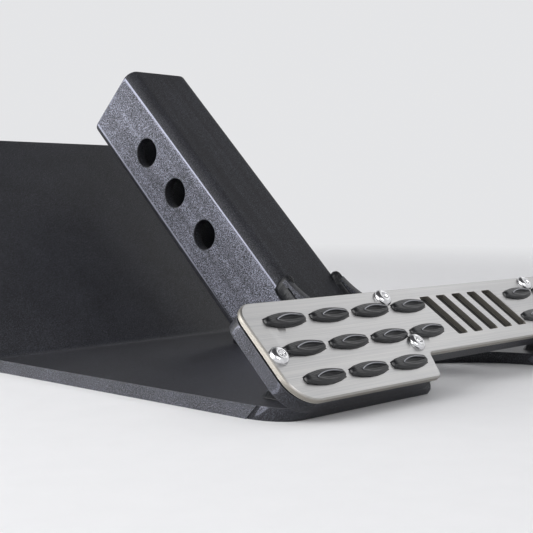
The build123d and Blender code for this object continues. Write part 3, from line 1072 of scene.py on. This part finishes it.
    def place_all(self) -> list[bpy.types.Object]:
        """Builds every bead.

        Returns:
            The beads.
        """
        pieces = [self.foot_bead()]
        for side in Side:
            pieces += [self.gusset_bead(side), self.step_bead(side)]
            pieces += [self.rib_bead(side, "inner"), self.rib_bead(side, "outer")]
        return pieces


@dataclass
class TreadScrews:
    """Button-head screws with a hexagon socket and a threaded shank."""

    head_radius: float = 4.6
    head_height: float = 2.55
    rim: float = 0.45
    flats: float = 3.2
    socket_depth: float = 1.5
    shank_radius: float = 2.38
    shank: float = 9.9
    thread_pitch: float = 0.8
    thread_depth: float = 0.35
    crown_flat: float = 0.75
    seat: float = 94.45
    turn_step: float = 0.7
    segments: int = 48
    material: bpy.types.Material | None = None

    def hexagon(self, turn: float) -> float:
        """Distance from the middle to the socket's wall in a direction.

        Args:
            turn: The direction, in radians.

        Returns:
            The distance in millimetres.
        """
        sector = math.radians(60)
        within = (turn + sector / 2) % sector - sector / 2
        return self.flats / 2 / math.cos(within)

    def ring(self, radius: Callable[[float], float], height: float) -> list[Vector]:
        """One ring of the screw.

        Args:
            radius: Radius in each direction.
            height: Height above the sheet.

        Returns:
            The ring's points.
        """
        points = []
        for index in range(self.segments):
            turn = 2 * math.pi * index / self.segments
            points.append(Vector((radius(turn) * math.cos(turn), radius(turn) * math.sin(turn), height)))
        return points

    def rings(self) -> list[list[Vector]]:
        """Rings from the shank's end over the head into the socket.

        Returns:
            The rings.
        """
        rows = []
        height = -self.shank
        rows.append(self.ring(lambda turn: self.shank_radius - 0.5, height))
        rows.append(self.ring(lambda turn: self.shank_radius - 0.1, height + 0.45))
        height += 0.7
        while height < -1.0:
            rows.append(self.ring(lambda turn: self.shank_radius, height))
            root = self.shank_radius - self.thread_depth
            rows.append(self.ring(lambda turn, root=root: root, height + self.thread_pitch / 2))
            height += self.thread_pitch
        rows.append(self.ring(lambda turn: self.shank_radius, -0.02))
        rows.append(self.ring(lambda turn: self.head_radius - 0.15, 0.0))
        rows.append(self.ring(lambda turn: self.head_radius, 0.15))
        crown_radius = self.flats / 2 + self.crown_flat
        for step in range(9):
            share = step / 8
            bend = math.radians(90 * share)
            radius = crown_radius + (self.head_radius - crown_radius) * math.cos(bend)
            height = self.rim + (self.head_height - self.rim) * math.sin(bend)
            rows.append(self.ring(lambda turn, radius=radius: radius, height))
        rows.append(self.ring(lambda turn: self.hexagon(turn) + 0.14, self.head_height))
        rows.append(self.ring(self.hexagon, self.head_height - 0.14))
        rows.append(self.ring(self.hexagon, self.head_height - self.socket_depth))
        rows.append(self.ring(lambda turn: 0.9, self.head_height - self.socket_depth - 0.12))
        rows.append(self.ring(lambda turn: 0.05, self.head_height - self.socket_depth - 0.5))
        return rows

    def place_all(self) -> list[bpy.types.Object]:
        """Builds every screw over its solid, each turned its own way.

        Returns:
            The screws.
        """
        pieces = []
        nodes = [name for name in sorted(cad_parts) if name.startswith("tread_screw_")]
        for index, node in enumerate(nodes):
            middle = use_middle(node)
            build = bmesh.new()
            swept_rings(build, self.rings())
            piece = mesh_object(node.replace("tread_screw", "button_screw"), build, self.material)
            spin = Matrix.Rotation(self.turn_step * index, 4, "Z")
            place = Matrix.Translation((middle.x, middle.y, self.seat)) @ spin
            piece.data.transform(USE_MATRIX @ place)
            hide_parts(node)
            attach(piece, "root")
            pieces.append(piece)
        return pieces


@dataclass
class SteelWork:
    """The solids that stay as they are: plates, tube, gussets, ribs, mat and sheet."""

    edge_round: float = 0.45
    sheet_edge: float = 0.18
    mat_edge: float = 0.2
    merge: float = 0.01
    sharp_from: float = 28.0
    coat: bpy.types.Material | None = None
    tube_coat: bpy.types.Material | None = None
    sheet: bpy.types.Material | None = None
    rubber: bpy.types.Material | None = None

    def dress(self, node: str, material: bpy.types.Material, edge: float) -> None:
        """Gives a solid its finish and breaks its sharp edges.

        Args:
            node: The solid's name.
            material: Its finish.
            edge: Width of the broken edge, in millimetres.
        """
        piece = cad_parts[node]
        piece.data.materials.clear()
        piece.data.materials.append(material)
        joined = piece.modifiers.new("joined", "WELD")
        joined.merge_threshold = self.merge * MM
        broken = piece.modifiers.new("broken_edge", "BEVEL")
        broken.width = edge * MM
        broken.segments = 2
        broken.limit_method = "ANGLE"
        broken.angle_limit = math.radians(self.sharp_from)
        LOG.info("%s dressed with %s", node, material.name)

    def dress_all(self) -> None:
        """Dresses every solid that no piece replaces."""
        for node in sorted(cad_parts):
            if node.startswith(("tread_pad", "tread_screw", "weld_")):
                continue
            if node == "tread_sheet":
                self.dress(node, self.sheet, self.sheet_edge)
            elif node == "backing_mat":
                self.dress(node, self.rubber, self.mat_edge)
            elif node == "hitch_tube":
                self.dress(node, self.tube_coat, self.edge_round)
            else:
                self.dress(node, self.coat, self.edge_round)


@dataclass(frozen=True)
class Softbox:
    """One soft lamp: its place and size in metres, the point that it faces and its power in watts."""

    name: str
    place: Triple
    aim: Triple
    size: Range
    watts: float

    def build(self) -> None:
        """Hangs the lamp where it doesn't show."""
        lamp = bpy.data.lights.new(self.name, "AREA")
        lamp.shape = "RECTANGLE"
        lamp.size, lamp.size_y = self.size
        lamp.energy = self.watts
        stand = bpy.data.objects.new(self.name, lamp)
        stand.location = self.place
        stand.visible_camera = False
        facing = Vector(self.aim) - Vector(self.place)
        stand.rotation_euler = facing.to_track_quat("-Z", "Y").to_euler()
        bpy.context.scene.collection.objects.link(stand)


@dataclass
class Studio:
    """Floor that sweeps up all round, soft lamps, pale surroundings and the camera."""

    floor_radius: float = 2.2
    rise_radius: float = 1.4
    wall_height: float = 1.6
    segments: int = 96
    surround: Colour = (0.86, 0.865, 0.88, 1.0)
    ceiling: Colour = (0.07, 0.07, 0.075, 1.0)
    wall_top: float = 0.45
    ceiling_from: float = 0.88
    seen_strength: float = 1.0
    light_strength: float = 0.60
    camera_place: Triple = (-0.5124, -0.4120, 0.0947)
    camera_right: Triple = (0.6763, -0.7365, 0.0080)
    camera_up: Triple = (0.0424, 0.0498, 0.9979)
    camera_forward: Triple = (0.7354, 0.6746, -0.0649)
    lens: float = 79.37
    sensor: float = 36.0
    paper: bpy.types.Material | None = None

    def build_floor(self) -> None:
        """Builds the floor."""
        profile = [(0.02, 0.0), (0.5, 0.0), (1.0, 0.0), (self.floor_radius, 0.0)]
        for step in range(1, 13):
            bend = math.radians(90 * step / 12)
            profile.append((
                self.floor_radius + self.rise_radius * math.sin(bend),
                self.rise_radius * (1 - math.cos(bend)),
            ))
        profile.append((self.floor_radius + self.rise_radius, self.rise_radius + self.wall_height))
        build = bmesh.new()
        rings = []
        for radius, height in profile:
            ring = []
            for index in range(self.segments):
                turn = 2 * math.pi * index / self.segments
                ring.append(Vector((radius * math.cos(turn), radius * math.sin(turn), height)))
            rings.append(ring)
        swept_rings(build, rings, closed_ends=False)
        build.faces.new(list(build.verts)[:self.segments])
        floor = mesh_object("studio_floor", build, self.paper)

    def light_world(self) -> None:
        """Pale walls, dimmer as light than they look, under a ceiling that only gloss shows dark."""
        world = bpy.data.worlds.new("surroundings")
        bpy.context.scene.world = world
        graph = Graph(world, "Generated")
        up = graph.dot(graph.place, (0.0, 0.0, 1.0))
        dim = up.between(self.wall_top, self.ceiling_from) * graph.light_path("Is Glossy Ray")
        colour = graph.blend(dim, self.surround, self.ceiling)
        seen = graph.light_path("Is Camera Ray", "Is Glossy Ray", "Is Transmission Ray")
        strength = self.light_strength + seen * (self.seen_strength - self.light_strength)
        graph.finish(graph.add("ShaderNodeBackground", {}, {"Color": colour, "Strength": strength}))

    def place_camera(self) -> None:
        """Puts the camera where the photograph was taken from."""
        axes = Matrix((self.camera_right, self.camera_up, -Vector(self.camera_forward)))
        data = bpy.data.cameras.new("camera")
        data.lens = self.lens
        data.sensor_width = self.sensor
        data.clip_start = 0.01
        camera = bpy.data.objects.new("camera", data)
        camera.matrix_world = Matrix.Translation(self.camera_place) @ axes.transposed().to_4x4()
        bpy.context.scene.collection.objects.link(camera)
        bpy.context.scene.camera = camera

    def set_up(self) -> None:
        """Builds the whole studio."""
        self.place_camera()
        self.build_floor()
        self.light_world()
        step = (0.0, 0.0, 0.06)
        tube = (0.0, 0.0, 0.15)
        for lamp in (
            Softbox("lamp_left", place=(-1.60, 0.50, 0.75), aim=step, size=(1.6, 1.2), watts=26.0),
            Softbox("lamp_low_left", place=(-1.42, 1.27, 0.27), aim=tube, size=(2.0, 0.56), watts=18.0),
            Softbox("lamp_right", place=(1.25, -0.15, 1.20), aim=step, size=(1.1, 0.7), watts=1.4),
            Softbox("lamp_front", place=(-0.60, -1.30, 0.90), aim=step, size=(0.9, 0.6), watts=5.0),
        ):
            lamp.build()
        bpy.context.scene.view_settings.view_transform = "Standard"


def main() -> None:
    """Builds the studio and dresses the part, piece by piece."""
    logging.basicConfig(level=logging.INFO, format="%(message)s")
    Studio(paper=StudioPaper().build()).set_up()
    coat = PowderCoat().build()
    tube_coat = PowderCoat(
        name="coat_tube", fleck_share=0.26, side_light_share=1.25, roughness=0.58, streak=0.3, lean=USE.angle
    ).build()
    rubber = MouldedRubber().build()
    SteelWork(coat=coat, tube_coat=tube_coat, sheet=BrushedSheet().build(), rubber=rubber).dress_all()
    for maker in (
        TreadPads(material=rubber),
        WeldBeads(material=WeldCoat().build()),
        TreadScrews(material=BrightScrew().build()),
    ):
        for piece in maker.place_all():
            LOG.info("%s built with %d faces", piece.name, len(piece.data.polygons))


if __name__ == "__main__":
    main()
